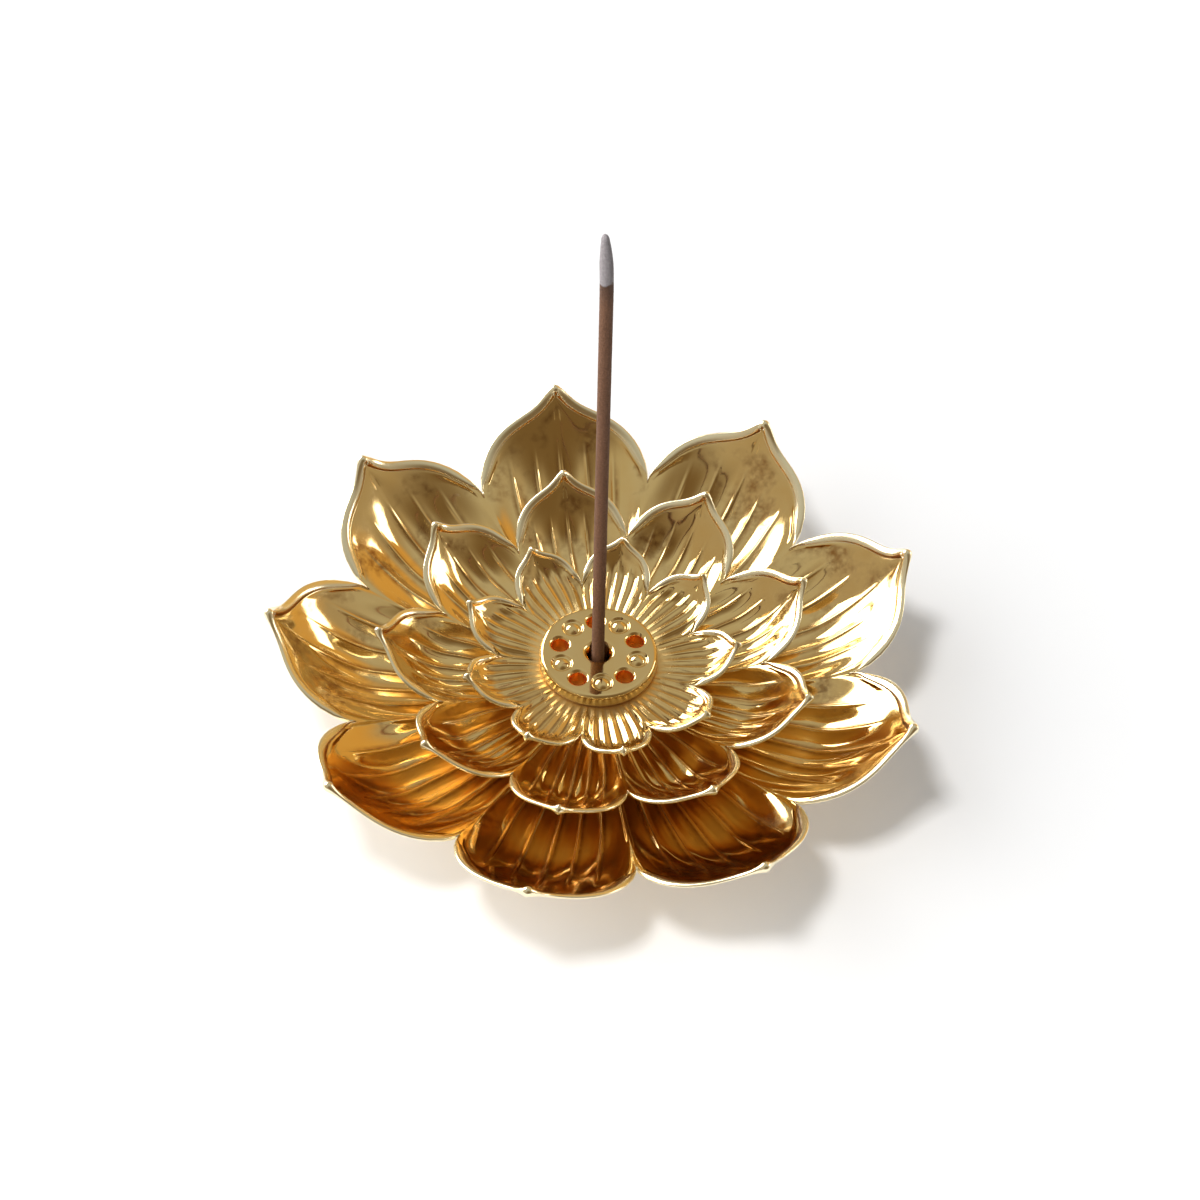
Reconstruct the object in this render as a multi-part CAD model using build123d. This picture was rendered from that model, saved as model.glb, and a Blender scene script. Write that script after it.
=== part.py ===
from build123d import *
import os
from math import cos, exp, hypot, pi, radians, sin, tan

# Lotus incense stick holder: three nested tiers of cupped petals, clamped on the stem of a seed pod
# over a turned foot. Z is up, the origin is the centre of the underside, and an outer petal points to +Y.
# Lengths are millimetres and angles are degrees.

# Petals, alike on the three tiers
petal_count = 9
flutes_per_petal = 6
sheet = 0.6  # wall of a petal tier
land_proud = 0.2  # the flat land round a tier's bore stands proud of the sheet by this, on both faces

# Outer tier: radii from the axis, rises above the tier's floor
outer_land_radius = 10.0
outer_notch_radius = 38.4
outer_shoulder_radius = 47.5
outer_tip_radius = 49.8
outer_notch_rise = 6.8
outer_shoulder_rise = 12.7
outer_tip_rise = 16.0
outer_turn = 0.0

# Middle tier, nearly in line with the outer one
middle_land_radius = 8.5
middle_notch_radius = 25.0
middle_shoulder_radius = 31.7
middle_tip_radius = 33.4
middle_notch_rise = 4.2
middle_shoulder_rise = 8.8
middle_tip_rise = 10.8
middle_turn = 1.6

# Inner tier, its petals over the gaps of the middle one
inner_land_margin = 0.5  # the land shows round the pod by this
inner_notch_radius = 14.7
inner_shoulder_radius = 20.2
inner_tip_radius = 21.2
inner_notch_rise = 0.3
inner_shoulder_rise = 3.7
inner_tip_rise = 4.9
inner_turn = 21.6

# Petal outline: how round the shoulder is, and how narrow the tip's point is, across half a petal
radius_power = 2.6
radius_roundness = 0.7
rise_power = 2.2
rise_roundness = 0.8
point_share = 0.15

# Petal profile from the land to the rim: a gentle run, then an upward sweep that eases a little at the rim.
# The point grows out of the last stretch of the profile, and bends up there.
run_midrib_share = 0.32
run_seam_share = 0.85
sweep_start_share = 0.62
sweep_ease_share = 0.3
sweep_power = 2.1
point_radius_power = 3
point_rise_power = 8
profile_shares = (0, 0.12, 0.3, 0.5, 0.62, 0.72, 0.8, 0.88, 0.95, 1)
slope_step_share = 0.001

# Flutes between the veins: depth as a share of their own width, where along the petal they fade, and how
# far the veins draw together towards the tip
flute_depth_share = 0.07
flute_rise_shares = (0.08, 0.3)
flute_fade_shares = (0.78, 0.96)
gather_share = 0.2
gather_shares = (0.45, 1)
gather_power = 4

# Stack on the stem, from the ground up
pad_thickness = 1.0
lower_spacer_height = 2.2
upper_spacer_height = 3.2
pod_height = 2.0

# Seed pod and its stem
pod_radius = 8.9
pod_edge_radius = 0.7
stem_radius = 3.0
turning_clearance = 0.05  # radial play of the tiers, spacers and foot on the stem
mouth_flare = 0.75  # the mouth is wider than the stick's socket by this, all round
mouth_chamfer = 0.45
mouth_depth = 2.6  # the mouth's funnel narrows to the socket over this depth
socket_web = 0.45  # wall between the stick's socket and the screw hole
stem_gap = 0.45  # the stem stops short of the washer by this, so that the screw clamps

# Seed holes and seed domes, by turns on one circle of the pod
seed_count = 5
seed_margin = 0.5  # flat left between a dome's ring and the pod's rounded edge
seed_hole_radius = 1.2
seed_hole_chamfer = 0.4
first_seed_hole_angle = 14.5
dome_radius = 1.15
dome_height = 0.55
dome_ring_radius = 1.7
dome_ring_depth = 0.35

# Spacers, foot and pad
spacer_radius = 5.5
foot_radius = 18.0
foot_edge_radius = 1.0
foot_web = 1.4  # floor of the foot's counterbore
head_room = 0.15  # gap between the screw's head and the pad
counterbore_clearance = 0.7
pad_inset = 1.6  # the pad stops short of the foot's edge by this

# Clamp screw and washer
screw_radius = 1.5
screw_length = 5.0
screw_head_radius = 2.85
screw_head_height = 1.65
screw_head_round = 0.6
screw_slot_width = 0.8
screw_slot_depth = 0.8
screw_hole_clearance = 0.05
screw_tip_room = 0.3
washer_bearing = 0.45  # how far the washer reaches past the foot's bore
washer_thickness = 0.5
washer_clearance = 0.1

# Incense stick, partly burnt, leaning a little in its socket
stick_radius = 0.95
stick_length = 92.5
stick_clearance = 0.15
ash_taper = 6.0
ash_tip_radius = 0.5
ash_nose = 0.3
stick_lean = 0.9
stick_heading = 170.0

overrun = 1.0  # how far every cut runs past the face it opens

# Levels of the stack
land_height = sheet + 2 * land_proud
foot_base = pad_thickness
foot_height = head_room + screw_head_height + washer_thickness + foot_web
outer_land_base = foot_base + foot_height
lower_spacer_base = outer_land_base + land_height
middle_land_base = lower_spacer_base + lower_spacer_height
upper_spacer_base = middle_land_base + land_height
inner_land_base = upper_spacer_base + upper_spacer_height
pod_base = inner_land_base + land_height
pod_top = pod_base + pod_height
washer_top = outer_land_base - foot_web
screw_head_top = washer_top - washer_thickness
stem_base = washer_top + stem_gap
screw_hole_top = screw_head_top + screw_length + screw_tip_room
socket_floor = screw_hole_top + socket_web

# Radii that follow other pieces
bore_radius = stem_radius + turning_clearance
washer_radius = bore_radius + washer_bearing
counterbore_radius = washer_radius + counterbore_clearance
socket_radius = stick_radius + stick_clearance
mouth_radius = socket_radius + mouth_flare
inner_land_radius = pod_radius + inner_land_margin
seed_circle_radius = pod_radius - pod_edge_radius - seed_margin - dome_ring_radius

petal_pitch = 360 / petal_count
first_petal_angle = 90

on_ground = (Align.CENTER, Align.CENTER, Align.MIN)


def turned(*outline):
    """A solid of revolution about Z from the (radius, height) corners of its closed outline."""
    corners = [(radius, 0, height) for radius, height in outline]
    return revolve(make_face(Polyline(*corners, close=True)), Axis.Z)


def disc(radius, height, base):
    """A flat disc standing on the level base."""
    return Pos(0, 0, base) * Cylinder(radius, height, align=on_ground)


def ring(radius, bore, height, base):
    """A flat ring standing on the level base."""
    return disc(radius, height, base) - disc(bore, height, base)


def ease(value, start, end):
    """Smooth step from 0 at start to 1 at end."""
    part = min(max((value - start) / (end - start), 0), 1)
    return part * part * (3 - 2 * part)


def rim(notch, shoulder, tip, power, roundness, across):
    """A rim's radius or rise in two parts: a round shoulder above the notch, and the point at the tip."""
    rounded = (1 - abs(across) ** power) ** roundness
    return notch + (shoulder - notch) * rounded, (tip - shoulder) * exp(-abs(across) / point_share)


class PetalTier:
    """One tier: a ring of petals round a flat land with a bore."""

    def __init__(self, land_radius, radii, rises, land_base, turn):
        self.land_radius = land_radius
        self.radii = radii
        self.rises = rises
        self.land_base = land_base
        self.turn = turn

    def top_point(self, vein, along):
        """Place across the petal, radius and height of the upper face: vein is 0 on the midrib and 1 on the
        seams, along is 0 at the land's edge and 1 at the rim."""
        drawn = gather_share * ease(along, *gather_shares) * (1 - vein ** gather_power)
        across = vein * (1 - drawn)
        reach, reach_point = rim(*self.radii, radius_power, radius_roundness, across)
        rise, rise_point = rim(*self.rises, rise_power, rise_roundness, across)
        evenly = self.land_radius + along * (reach - self.land_radius)
        radius = evenly + along ** point_radius_power * reach_point
        run = run_midrib_share + (run_seam_share - run_midrib_share) * across ** 2
        sweep = min(max((along - sweep_start_share) / (1 - sweep_start_share), 0), 1)
        swept = sweep_ease_share * ease(sweep, 0, 1) + (1 - sweep_ease_share) * sweep ** sweep_power
        lift = run * along + (1 - run) * swept
        flute_width = radius * radians(petal_pitch) / flutes_per_petal
        trough = abs(sin(pi * vein * flutes_per_petal / 2))
        strength = ease(along, *flute_rise_shares) * (1 - ease(along, *flute_fade_shares))
        floor = self.land_base + land_proud + sheet
        height = floor + rise * lift + rise_point * along ** point_rise_power
        return across, radius, height - flute_depth_share * flute_width * trough * strength

    def section(self, vein):
        """Closed outline of the land and the sheet along a line that runs between the veins, from the bore to
        the rim."""
        upward = Vector(0, 0, 1)
        upper = []
        lower = []
        for along in profile_shares:
            across, radius, height = self.top_point(vein, along)
            before = self.top_point(vein, max(along - slope_step_share, 0))
            after = self.top_point(vein, min(along + slope_step_share, 1))
            run, climb = after[1] - before[1], after[2] - before[2]
            slant = hypot(run, climb)
            angle = radians(first_petal_angle + self.turn + across * petal_pitch / 2)
            outward = Vector(cos(angle), sin(angle), 0)
            upper.append(outward * radius + upward * height)
            lower.append(upper[-1] + (outward * climb - upward * run) * (sheet / slant))
        lower[0] = upper[0] - upward * sheet
        outward = Vector(upper[0].X, upper[0].Y, 0).normalized()
        land_top = self.land_base + land_height
        land = [
            outward * radius + upward * height
            for radius, height in (
                (self.land_radius, self.land_base), (bore_radius, self.land_base),
                (bore_radius, land_top), (self.land_radius, land_top),
            )
        ]
        corners = [lower[0], *land, upper[0]]
        return Wire([
            Edge.make_spline(upper),
            Edge.make_line(upper[-1], lower[-1]),
            Edge.make_spline(lower[::-1]),
            *[Edge.make_line(start, end) for start, end in zip(corners, corners[1:])],
        ])

    def solid(self):
        """Nine petals of lofted flutes, each with its part of the bored land, sewn into one sheet."""
        petal = []
        for flute in range(flutes_per_petal):
            stations = [-1 + (2 * flute + step) / flutes_per_petal for step in range(3)]
            petal += Shell.make_loft([self.section(vein) for vein in stations]).faces()
        faces = []
        for index in range(petal_count):
            faces += [face.rotate(Axis.Z, index * petal_pitch) for face in petal]
        return Solid(Shell(faces))


outer = PetalTier(
    outer_land_radius,
    (outer_notch_radius, outer_shoulder_radius, outer_tip_radius),
    (outer_notch_rise, outer_shoulder_rise, outer_tip_rise),
    outer_land_base, outer_turn,
)
middle = PetalTier(
    middle_land_radius,
    (middle_notch_radius, middle_shoulder_radius, middle_tip_radius),
    (middle_notch_rise, middle_shoulder_rise, middle_tip_rise),
    middle_land_base, middle_turn,
)
inner = PetalTier(
    inner_land_radius,
    (inner_notch_radius, inner_shoulder_radius, inner_tip_radius),
    (inner_notch_rise, inner_shoulder_rise, inner_tip_rise),
    inner_land_base, inner_turn,
)


def seed_pod():
    """Pod disc and stem in one turning, with five seed holes and five seed domes."""
    hole_radius = screw_radius + screw_hole_clearance
    body = turned(
        (0, screw_hole_top), (hole_radius, screw_hole_top), (hole_radius, stem_base),
        (stem_radius, stem_base), (stem_radius, pod_base), (pod_radius, pod_base), (pod_radius, pod_top),
        (mouth_radius + mouth_chamfer, pod_top), (mouth_radius, pod_top - mouth_chamfer),
        (socket_radius, pod_top - mouth_depth), (socket_radius, socket_floor), (0, socket_floor),
    )
    rims = body.edges().filter_by(GeomType.CIRCLE).group_by(SortBy.RADIUS)[-1]
    body = fillet(rims.sort_by(Axis.Z)[-1], pod_edge_radius)
    hole = disc(seed_hole_radius, pod_height + overrun, pod_base)
    flare = Cone(seed_hole_radius, seed_hole_radius + seed_hole_chamfer, seed_hole_chamfer, align=on_ground)
    hole += Pos(0, 0, pod_top - seed_hole_chamfer) * flare
    well = pod_top - dome_ring_depth
    recess = disc(dome_ring_radius, dome_ring_depth + overrun, well)
    ball_radius = (dome_radius ** 2 + dome_height ** 2) / (2 * dome_height)
    ball = Pos(0, 0, well + dome_height - ball_radius) * Sphere(ball_radius)
    dome = ball & disc(dome_radius, dome_height, well)
    step = 360 / seed_count
    for index in range(seed_count):
        hole_angle = first_seed_hole_angle + index * step
        to_hole = Rot(0, 0, hole_angle) * Pos(seed_circle_radius, 0, 0)
        to_dome = Rot(0, 0, hole_angle + step / 2) * Pos(seed_circle_radius, 0, 0)
        body = body - to_hole * hole - to_dome * recess + to_dome * dome
    return body


def base_foot():
    """Turned disc with a counterbore for the screw head and a bore for the stem."""
    top = outer_land_base
    body = turned(
        (bore_radius, top), (bore_radius, washer_top), (counterbore_radius, washer_top),
        (counterbore_radius, foot_base), (foot_radius, foot_base), (foot_radius, top),
    )
    rims = body.edges().filter_by(GeomType.CIRCLE).group_by(SortBy.RADIUS)[-1]
    return fillet(rims.sort_by(Axis.Z)[-1], foot_edge_radius)


def clamp_screw():
    """Round-headed screw, head down, with a crossed slot."""
    head_base = screw_head_top - screw_head_height
    head = disc(screw_head_radius, screw_head_height, head_base)
    head = fillet(head.edges().filter_by(GeomType.CIRCLE).sort_by(Axis.Z)[0], screw_head_round)
    slot = Box(2 * screw_radius, screw_slot_width, screw_slot_depth, align=on_ground)
    slot += Rot(0, 0, 90) * slot
    return head - Pos(0, 0, head_base) * slot + disc(screw_radius, screw_length, screw_head_top)


def incense_stick():
    """Straight stick that tapers to an ash tip, leaning about the middle of its socket's floor."""
    body = turned(
        (0, 0), (stick_radius, 0), (stick_radius, stick_length - ash_taper),
        (ash_tip_radius, stick_length - ash_nose), (ash_tip_radius - ash_nose, stick_length),
        (0, stick_length),
    )
    lift = stick_radius * tan(radians(stick_lean))
    heading = Rot(0, 0, stick_heading)
    return Pos(0, 0, socket_floor + lift) * heading * Rot(0, stick_lean, 0) * heading.inverse() * body


pieces = {
    "foot_pad": disc(foot_radius - pad_inset, pad_thickness, 0),
    "base_foot": base_foot(),
    "outer_petal_tier": outer.solid(),
    "lower_spacer": ring(spacer_radius, bore_radius, lower_spacer_height, lower_spacer_base),
    "middle_petal_tier": middle.solid(),
    "upper_spacer": ring(spacer_radius, bore_radius, upper_spacer_height, upper_spacer_base),
    "inner_petal_tier": inner.solid(),
    "seed_pod": seed_pod(),
    "screw_washer": ring(
        washer_radius, screw_radius + washer_clearance, washer_thickness, screw_head_top
    ),
    "clamp_screw": clamp_screw(),
    "incense_stick": incense_stick(),
}

os.makedirs("parts", exist_ok=True)
for name, piece in pieces.items():
    export_step(piece, f"parts/{name}.step")
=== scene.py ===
from math import cos, pi, radians, sin, tan

import bmesh
import bpy
import numpy as np
from mathutils import Matrix, Vector


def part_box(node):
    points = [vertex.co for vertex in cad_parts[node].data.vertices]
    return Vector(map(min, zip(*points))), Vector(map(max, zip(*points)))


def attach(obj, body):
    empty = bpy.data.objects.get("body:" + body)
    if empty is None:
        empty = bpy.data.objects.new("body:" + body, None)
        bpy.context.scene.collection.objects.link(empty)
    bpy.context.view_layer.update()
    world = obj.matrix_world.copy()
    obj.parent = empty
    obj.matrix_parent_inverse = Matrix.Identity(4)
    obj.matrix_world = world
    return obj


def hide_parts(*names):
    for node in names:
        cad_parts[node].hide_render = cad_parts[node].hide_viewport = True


bl_info = {
    "name": "Lotus incense stick holder",
    "version": (1, 0, 0),
    "blender": (4, 5, 0),
    "location": "View3D > Sidebar > Lotus",
    "description": "Gold-plated lotus of three petal tiers round a seed pod that holds an incense stick",
    "category": "Add Mesh",
}

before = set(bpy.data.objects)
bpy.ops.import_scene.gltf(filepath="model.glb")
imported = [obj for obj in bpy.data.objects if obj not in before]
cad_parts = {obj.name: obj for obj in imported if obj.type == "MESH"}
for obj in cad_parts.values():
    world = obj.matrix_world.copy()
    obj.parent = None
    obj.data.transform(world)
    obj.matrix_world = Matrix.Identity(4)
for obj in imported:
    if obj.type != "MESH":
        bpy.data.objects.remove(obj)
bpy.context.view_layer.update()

# Outline of a petal, alike on the three tiers. A share is a part of the way from the land to the rim. For the
# point, the tip and the seams it is a part of the way from the midrib to the seam.
PETAL_COUNT = 9
BAND_COUNT = 6
HALF_PITCH = pi / PETAL_COUNT
FIRST_PETAL = pi / 2
RADIUS_POWER, RADIUS_ROUNDNESS = 2.6, 0.7
RISE_POWER, RISE_ROUNDNESS = 2.2, 0.8
POINT_SHARE, TIP_ROUND_SHARE = 0.105, 0.09
POINT_RADIUS_POWER, POINT_RISE_POWER = 3, 8
RUN_MIDRIB_SHARE, RUN_SEAM_SHARE = 0.32, 0.85
SWEEP_START_SHARE, SWEEP_EASE_SHARE, SWEEP_POWER = 0.62, 0.3, 2.1
GATHER_SHARE, GATHER_SHARES, GATHER_POWER = 0.2, (0.45, 1.0), 4
SEAM_SHARES = (0.93, 1.0)
SLOPE_STEP = 0.001

# Relief of a petal, its satin, and its painted shade, painted dark reflections and painted highlight. A spread is
# a distance from a vein line in halves of a rib's width.
HALF_BAND = 0.5
FACET_FADE_SHARES = (0.76, 0.97)
RIB_FADE_SHARES = (0.80, 0.97)
SEAM_RIB_GAIN = 1.3
CREASE_SPREADS = (0.1, 0.8)
RIDGE_SPREADS = (0.1, 0.6)
# Strength of the highlight painted along the ridges
RIDGE_HIGHLIGHT = 0.1
FACE_RISE_POWER = 3
# Where the painted dark reflection towards the rim begins and where it is full
DARK_RIM_REFLECTION_SHARES = (0.55, 0.92)
SATIN_SHARES = (0.10, 0.45)

# Lip of a petal. Its margin, its feet and the bead's ellipse are in widths of the bead.
LIP_MARGIN = 1.5
LIP_FEET = (1.25, 1.02)
BEAD_MIDDLE, BEAD_HALF = 0.42, 0.5
TIP_SHARE, TIP_BEAD_SHARE, TIP_BEAD_GAIN = 0.06, 0.08, 1.2
SEAM_LIP_LOSS = 0.6

# Grid counts of a tier
RIB_STEPS, FLAT_STEPS = 6, 5
TOP_ROWS, UNDER_ROWS, BEAD_ROWS = 44, 20, 15

# Pod: holes and domes in turn, each in its own sector. Shares are of a chamfer or of the edge's rounding.
SECTOR_COUNT = 10
SECTOR_HALF = pi / SECTOR_COUNT
SECTOR_PARTS = (1, 0.7, 0.4, 0.15)
RING_SLOPE_SHARE = 0.75
LAP_SHARE, HOLE_LIFT_SHARE, FOOT_SHARE = 0.2, 0.05, 1 / 3
HOLLOW_SHARES = (0.5, 1.2)
# How far down the pod's wall its painted shade and dullness grow, and their strength
WALL_SHARES, WALL_DULLNESS = (1.0, 1.6), 0.6
ARC_STEPS, SIDE_STEPS, MOUTH_STEPS = 12, 12, 6
RING_STEPS, CAP_STEPS, EDGE_STEPS = 9, 10, 9

# Stick and spacers: grid counts, and the powers of the stick's taper, bend and bow
SHAFT_ROWS, TAPER_ROWS, STICK_TURNS, SPACER_TURNS = 60, 40, 48, 96
TAPER_START_SHARE, TAPER_ROW_POWER, TAPER_POWER = 0.02, 1.4, 1.6
BEND_TAPERS, BEND_POWER = 2, 2
BOW_START_SHARE, BOW_POWER = 0.1, 1.2
SPACER_ROUND = 0.0002

# Edges sharper than this are shaded as edges, and points closer than this are one
POD_SHARP, SPACER_SHARP, STICK_SHARP = radians(40), radians(50), radians(60)
MERGE_DISTANCE = 1e-7

# Finish: roughness, strengths of the painted shade, of the painted highlight on the lips and of the stick's
# fibres, char and flakes, and the depth of the bumps in metres
GOLD_ROUGHNESS, MARK_ROUGHNESS, MARK_DEPTH_SHARE = (0.06, 0.09), 0.03, 0.02
BLOTCH_SHARES, CREASE_STRENGTHS, LIP_HIGHLIGHT = (0.5, 0.8), (0.50, 0.90), 0.9
PASTE_ROUGHNESS, FIBRE_STRENGTH, CHAR_STRENGTH, FLAKE_STRENGTH = (0.75, 0.95), 0.45, 0.7, 0.35
ASH_RAGGED, ASH_EDGE, CHAR_LENGTH = 0.0005, (-0.0001, 0.0003), 0.004
ZINC_ROUGHNESS, ZINC_SHADE = (0.28, 0.42), 0.8
RUBBER_ROUGHNESS, RUBBER_DUST = (0.7, 0.9), 2.2
LAYER_ROUGHNESS = {"hollow": 0.25, "crease": 0.1, "edge": 0.12, "satin": 0.3, "blotch": 0.1}
GOLD_DEPTH, PASTE_DEPTH, ZINC_DEPTH, RUBBER_DEPTH = 0.000004, 0.00006, 0.00001, 0.00006

# Clouds and polishing marks: scales per metre, the part of the noise that counts, and the runs of the marks
GOLD_CLOUDS, PASTE_CLOUDS = (140.0, 900.0), (500.0, 3500.0)
ZINC_CLOUDS, RUBBER_CLOUDS = (700.0, 4000.0), (250.0, 5000.0)
GOLD_MARKS, ZINC_MARKS = 1.0, 2.0
CLOUD_SPAN, MARK_SPAN = (0.3, 0.7), (0.58, 0.74)
MARK_TILT, MARK_RUNS = (0.3, 0.2), ((0.6, (9000.0, 300.0, 300.0)), (2.1, (7000.0, 260.0, 260.0)))

# Sockets of a Mix node that mixes colours
MIX_SHARE, MIX_FIRST, MIX_SECOND, MIX_RESULT = 0, 6, 7, 2

# Studio: how often the nested petals mirror each other, and the floor's half width and reach of its glow
MIRROR_BOUNCES = 10
FLOOR_HALF, GLOW_REACH = 3.0, (0.09, 0.24)
SENSOR_WIDTH, CLIP_START, CLIP_END = 36.0, 0.01, 20.0

# Patches of the surroundings in degrees: azimuth, elevation, and how far from there they begin and end to fade
DAYLIGHT_PATCH = (176.0, 20.0, 22.0, 55.0)
ROOM_PATCHES = {
    "ceiling": (0.0, 90.0, 20.0, 60.0), "amber": (42.0, 10.0, 15.0, 42.0), "behind": (282.0, 34.0, 14.0, 52.0)}

# Lamps: name, azimuth and elevation in degrees, distance, width and height, brightness, surfaces that it lights
LAMPS = (
    ("left_window", 129.0, 22.0, 0.9, (0.66, 0.60), 7.0, "metal"),
    ("right_strip", 8.0, 19.0, 0.8, (0.36, 0.14), 4.0, "metal"),
    ("soft_key", 205.0, 72.0, 0.9, (0.17, 0.17), 54.0, "matt"),
)


def length(name, description, default):
    """A size in metres that a user can change."""
    return bpy.props.FloatProperty(
        name=name, description=description, default=default, unit="LENGTH", precision=5)


def angle(name, description, degrees):
    """An angle that a user can change, given in degrees."""
    return bpy.props.FloatProperty(
        name=name, description=description, default=radians(degrees), subtype="ANGLE")


def factor(name, description, default):
    """A plain number from 0 upwards."""
    return bpy.props.FloatProperty(name=name, description=description, default=default, min=0.0)


def colour(name, description, default):
    """A linear colour that a user can change."""
    return bpy.props.FloatVectorProperty(
        name=name, description=description, default=default, subtype="COLOR", size=3, min=0.0, max=1.0)


def part_group(kind, name, description):
    """A group of settings inside another."""
    return bpy.props.PointerProperty(type=kind, name=name, description=description)


# Sizes of a tier: kind, use, and the values of the outer, the middle and the inner tier
TIER_SIZES = {
    "land_radius": (length, "Radius of the flat land round the bore", 0.0100, 0.0085, 0.0087),
    "notch_radius": (length, "Reach of the rim between two petals", 0.0384, 0.0250, 0.0147),
    "shoulder_radius": (length, "Reach of a petal's round shoulder", 0.0475, 0.0317, 0.0202),
    "tip_radius": (length, "Reach of a petal's pointed tip", 0.0498, 0.0334, 0.0212),
    "notch_rise": (length, "Height of the notch above the tier's floor", 0.0068, 0.0042, 0.0003),
    "shoulder_rise": (length, "Height of the shoulder above the floor", 0.0127, 0.0088, 0.0037),
    "tip_rise": (length, "Height of the tip above the tier's floor", 0.0160, 0.0108, 0.0049),
    "turn": (angle, "How far the tier is turned on the stem", 0.0, 1.6, 21.6),
    "rib_height": (length, "Height of the ribs along the veins", 0.00024, 0.00021, 0.00020),
    "rib_half": (factor, "Half of a rib's width as a share of the band between two veins", 0.12, 0.12, 0.24),
    "hollow": (length, "How deep the bands between the ribs are hollowed", 0.00025, 0.00020, 0.00016),
    "rib_onset": (factor, "Share of the petal over which its ribs rise from the land", 0.2, 0.2, 0.35),
    # The crease is painted shade beside each rib: its place, and its strength on the midrib's side
    "crease_place": (factor, "Place of the dark crease, in halves of a rib's width", 1.0, 1.0, 2.1),
    "crease_near": (factor, "Strength of the crease on the midrib's side of a rib", 0.3, 0.3, 1.0),
    "bead_width": (length, "Width of the bead along the rim", 0.00155, 0.00130, 0.00098),
}


def tier_settings(title, node, column):
    """A PropertyGroup for one tier of petals, whose defaults are a column of the table."""
    sizes = {"land_base": length("Land base", "Level of the land's underside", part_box(node)[0].z)}
    for key, (kind, description, *values) in TIER_SIZES.items():
        sizes[key] = kind(key.replace("_", " ").capitalize(), description, values[column])
    return type(title, (bpy.types.PropertyGroup,), {"__annotations__": sizes, "__doc__": f"Sizes of the {node}"})


OuterTierSettings = tier_settings("OuterTierSettings", "outer_petal_tier", 0)
MiddleTierSettings = tier_settings("MiddleTierSettings", "middle_petal_tier", 1)
InnerTierSettings = tier_settings("InnerTierSettings", "inner_petal_tier", 2)


class SheetSettings(bpy.types.PropertyGroup):
    """Sheet and lip shared by the three tiers"""
    sheet: length("Sheet", "Wall of a petal near the land", 0.0006)
    land_proud: length("Land proud", "How far the land stands proud of the sheet", 0.0002)
    bore_radius: length("Bore radius", "Radius of the bore that the stem passes", 0.00305)
    face_rise: length("Face rise", "How far the upper face rises over the sheet at the rim", 0.00010)
    bead_height: length("Bead height", "How far the bead stands over the upper face", 0.00030)
    lip_half: length("Lip half thickness", "Half of the rim's thickness", 0.00030)


class PodSettings(bpy.types.PropertyGroup):
    """Sizes of the seed pod and its stem"""
    base: length("Base", "Level of the pod's underside", 0.0131)
    radius: length("Radius", "Radius of the pod", 0.0089)
    edge_round: length("Edge round", "Rounding of the pod's upper edge", 0.0007)
    stem_radius: length("Stem radius", "Radius of the stem", 0.0030)
    screw_bore: length("Screw bore", "Radius of the hole for the clamp screw", 0.00155)
    screw_bore_top: length("Screw bore top", "Level where the screw hole ends", 0.0081)
    seed_circle: length("Seed circle", "Radius of the circle of holes and domes", 0.0060)
    first_hole: angle("First hole", "Direction of the first seed hole", 14.5)
    hole_radius: length("Hole radius", "Radius of a seed hole", 0.0012)
    hole_chamfer: length("Hole chamfer", "Chamfer round a seed hole", 0.0004)
    dome_radius: length("Dome radius", "Radius of a seed dome", 0.00115)
    dome_height: length("Dome height", "Height of a dome above its recess", 0.00055)
    ring_radius: length("Ring radius", "Radius of the recess round a dome", 0.0017)
    ring_depth: length("Ring depth", "Depth of the recess round a dome", 0.00035)
    mouth_radius: length("Mouth radius", "Radius of the stick's mouth", 0.00185)
    mouth_chamfer: length("Mouth chamfer", "Chamfer round the mouth", 0.00045)
    mouth_depth: length("Mouth depth", "Depth over which the mouth narrows", 0.0026)
    socket_radius: length("Socket radius", "Radius of the stick's socket", 0.0011)
    socket_floor: length("Socket floor", "Level of the socket's floor", 0.00855)


class StickSettings(bpy.types.PropertyGroup):
    """Sizes and colours of the incense stick"""
    radius: length("Radius", "Radius of the stick", 0.00095)
    length: length("Length", "Length of the stick with its ash", 0.0925)
    lean: angle("Lean", "How far the stick leans", 0.9)
    heading: angle("Heading", "Direction of the lean", 170.0)
    taper: length("Taper", "Length of the tapered ash tip", 0.0060)
    tip_radius: length("Tip radius", "Radius of the ash just under its round end", 0.00045)
    bend: length("Bend", "How far the ash tip has bent over", 0.00040)
    bow: length("Bow", "How far the stick bows out towards its top", 0.00055)
    bow_heading: angle("Bow heading", "Direction of the bow", -10.0)
    ash: length("Ash", "Length of the ash at the top", 0.0086)
    paste_colour: colour("Paste", "Colour of the incense paste", (0.205, 0.095, 0.048))
    char_colour: colour("Char", "Colour of the burnt line under the ash", (0.070, 0.038, 0.026))
    ash_colour: colour("Ash colour", "Colour of the ash", (0.370, 0.336, 0.343))
    flake_colour: colour("Flake colour", "Darker colour in the flakes of the ash", (0.210, 0.188, 0.192))


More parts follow.
